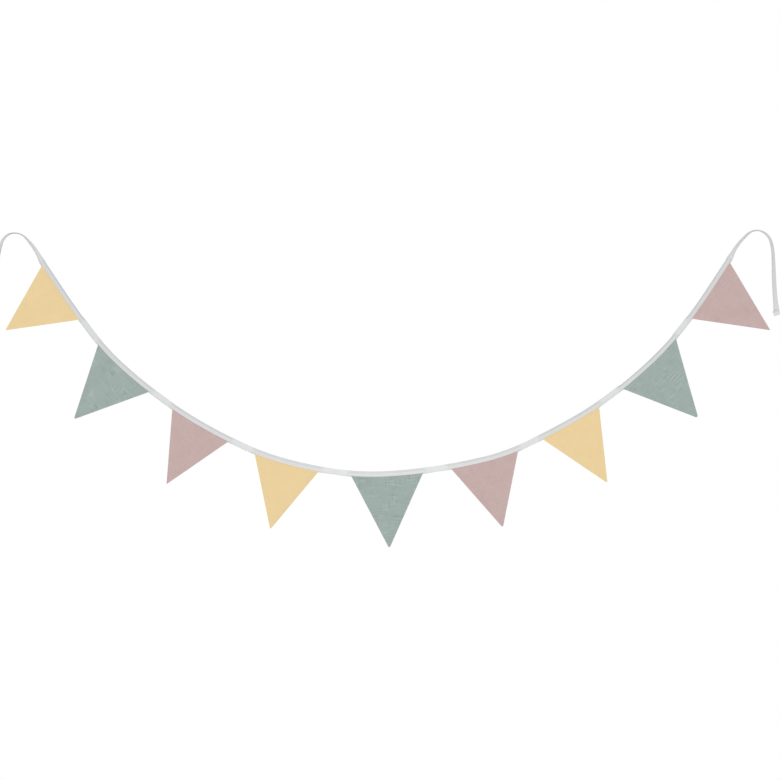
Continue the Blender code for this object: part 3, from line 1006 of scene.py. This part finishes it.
def cloth_material(name, cloth):
    material, desk, shader = new_material(name)
    setting = dict(zip(WEAVE_INPUTS, cloth.weave))
    setting["Flat Place"] = desk.add("ShaderNodeUVMap", uv_map="flat cloth").outputs[0]
    weave = desk.add("ShaderNodeGroup", setting, node_tree=woven_cloth).outputs
    dark, light = shade(cloth.colour, 1 - cloth.tone), shade(cloth.colour, 1 + cloth.tone)
    dyed = desk.mixed_colour(desk.spread(weave["Thread Tone"], *TONES), dark, light)
    pale = desk.plus(desk.times(weave["Slubs"], cloth.slubs), 1 - cloth.holes / 2)
    cloud = desk.spread(weave["Clouds"], *CLOUDS, -cloth.clouds, cloth.clouds)
    # painted shade in the holes between the threads, and painted light on their crests
    hole_shade = desk.spread(weave["Height"], 0.0, HOLE_TOP, -cloth.holes, cloth.holes)
    # painted shade: the binding's corners say how much darker its colour is painted
    painted_shade = desk.add("ShaderNodeAttribute", attribute_name="painted_shade").outputs["Fac"]
    painted_darkening = desk.spread(painted_shade, 0.0, 1.0, 1.0, 1.0 - PAINTED_SHADE_DEPTH)
    factor = desk.times(desk.plus(desk.plus(pale, cloud), hole_shade), painted_darkening)
    colour = desk.add("ShaderNodeVectorMath", {0: dyed, "Scale": factor}, operation="SCALE").outputs[0]
    rough = desk.spread(weave["Height"], 0.0, 1.0, cloth.roughness + 0.06, cloth.roughness - 0.04)
    relief = {"Strength": 0.7, "Distance": cloth.depth, "Height": weave["Height"]}
    surface = {
        "Base Color": colour,
        "Roughness": rough,
        "Sheen Weight": SHEEN,
        "Sheen Roughness": 0.5,
        "Specular IOR Level": 0.2,
        "Normal": desk.add("ShaderNodeBump", relief).outputs[0],
    }
    desk.fill(shader, surface)
    return material


materials = {name: cloth_material(f"{name}_cloth", cloth) for name, cloth in CLOTHS.items()}
binding.data.materials.append(materials["cotton"])
for row, pennant in zip(PENNANTS, pennants):
    pennant.data.materials.append(materials[row.cloth])

# %% [markdown]
# Sewing thread is two plies twisted together. On the stitch's own UV map the twist is a slanting wave.
# It raises a small bump, and its colour is painted darker in the grooves and lighter on the crests, as
# painted shade and light, for a soft rope look.

# %% Thread
PLY_SLANT = 12.0  # turns of the twist from one side of the map to the other
PLY_DEPTH = 0.00004


def thread_material():
    material, desk, shader = new_material("sewing_thread")
    around = desk.add("ShaderNodeUVMap", uv_map="flat cloth").outputs[0]
    split = desk.add("ShaderNodeSeparateXYZ", {0: around}).outputs
    slant = desk.plus(split["X"], desk.times(split["Y"], PLY_SLANT))
    twist = desk.calculate("ABSOLUTE", desk.calculate("SINE", desk.times(slant, 2 * math.pi)))
    relief = {"Strength": 0.5, "Distance": PLY_DEPTH, "Height": twist}
    surface = {
        # painted shade in the grooves between the plies and painted light on their crests
        "Base Color": desk.mixed_colour(twist, (0.66, 0.66, 0.65, 1), (0.78, 0.78, 0.77, 1)),
        "Roughness": 0.6,
        "Specular IOR Level": 0.3,
        "Normal": desk.add("ShaderNodeBump", relief).outputs[0],
    }
    desk.fill(shader, surface)
    return material


thread = thread_material()
for seam in seams:
    seam.data.materials.clear()
    seam.data.materials.append(thread)

# %% [markdown]
# Every piece now takes over from its packed one and rides with it.

# %% Hand the pieces over
for seam in seams:
    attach(seam, "root")

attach(binding, "root")
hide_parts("binding")
for number, (row, pennant) in enumerate(zip(PENNANTS, pennants), start=1):
    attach(pennant, "root")
    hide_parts(f"pennant_{number}_{row.cloth}")

# %% [markdown]
# The bunting hangs in the open over a plain pale floor, well below the picture's edge. The ground that
# the camera sees is white, and the same white room lights the cloth softly from all sides: most of all
# from below, off the pale floor, and least from above. A wide soft light stands in front and a weaker
# one behind, for the views from the back. So faces that turn aside or up go grey and those that face a
# light keep their colour, with no hard shadow.

# %% Floor, room and light
FLOOR_LEVEL = -1.9
FLOOR_SIZE = 5.0
WHITE = (1, 1, 1, 1)
ROOM_BELOW = 1.02  # strength of the room's light from straight below
ROOM_ABOVE = 0.66  # and from straight above
FRONT_LIGHT = 64.0  # watts
BACK_LIGHT = 48.0
LIGHT_DISTANCE = 4.5
LIGHT_DROP = 0.8  # below the view's middle
LIGHT_SIZE = (3.0, 2.0)


def floor_material():
    material, desk, shader = new_material("pale_floor")
    desk.fill(shader, {"Base Color": (0.92, 0.92, 0.91, 1), "Roughness": 0.7})
    return material


bpy.ops.mesh.primitive_plane_add(size=FLOOR_SIZE, location=(VIEW_CENTRE.x, 0, FLOOR_LEVEL))
floor = bpy.context.object
floor.name = "floor"
floor.data.materials.append(floor_material())


def white_room():
    world = bpy.data.worlds.new("white_room")
    world.use_nodes = True
    desk = Desk(world.node_tree)
    background = world.node_tree.nodes["Background"]
    direction = desk.add("ShaderNodeTexCoord").outputs["Generated"]
    upwards = desk.add("ShaderNodeSeparateXYZ", {0: direction}).outputs["Z"]
    strength = desk.spread(upwards, -1.0, 1.0, ROOM_BELOW, ROOM_ABOVE)
    desk.fill(background, {"Color": WHITE, "Strength": strength})
    seen = desk.add("ShaderNodeBackground", {"Color": WHITE, "Strength": 1.0})
    ray = desk.add("ShaderNodeLightPath").outputs["Is Camera Ray"]
    both = desk.add("ShaderNodeMixShader", {0: ray, 1: background.outputs[0], 2: seen.outputs[0]})
    desk.fill(world.node_tree.nodes["World Output"], {"Surface": both.outputs[0]})
    return world


bpy.context.scene.world = white_room()
bpy.context.scene.view_settings.view_transform = "Standard"


def soft_light(name, side, power):
    """A wide light in front of the bunting, side -1, or behind it, side 1. The camera doesn't see it."""
    place = VIEW_CENTRE + Vector((0, side * LIGHT_DISTANCE, -LIGHT_DROP))
    bpy.ops.object.light_add(type="AREA", location=place)
    light = bpy.context.object
    light.name = name
    light.rotation_euler = (VIEW_CENTRE - place).to_track_quat("-Z", "Y").to_euler()
    light.data.shape = "RECTANGLE"
    light.data.size, light.data.size_y = LIGHT_SIZE
    light.data.energy = power
    light.visible_camera = False
    return light


soft_light("front_light", -1, FRONT_LIGHT)
soft_light("back_light", 1, BACK_LIGHT)
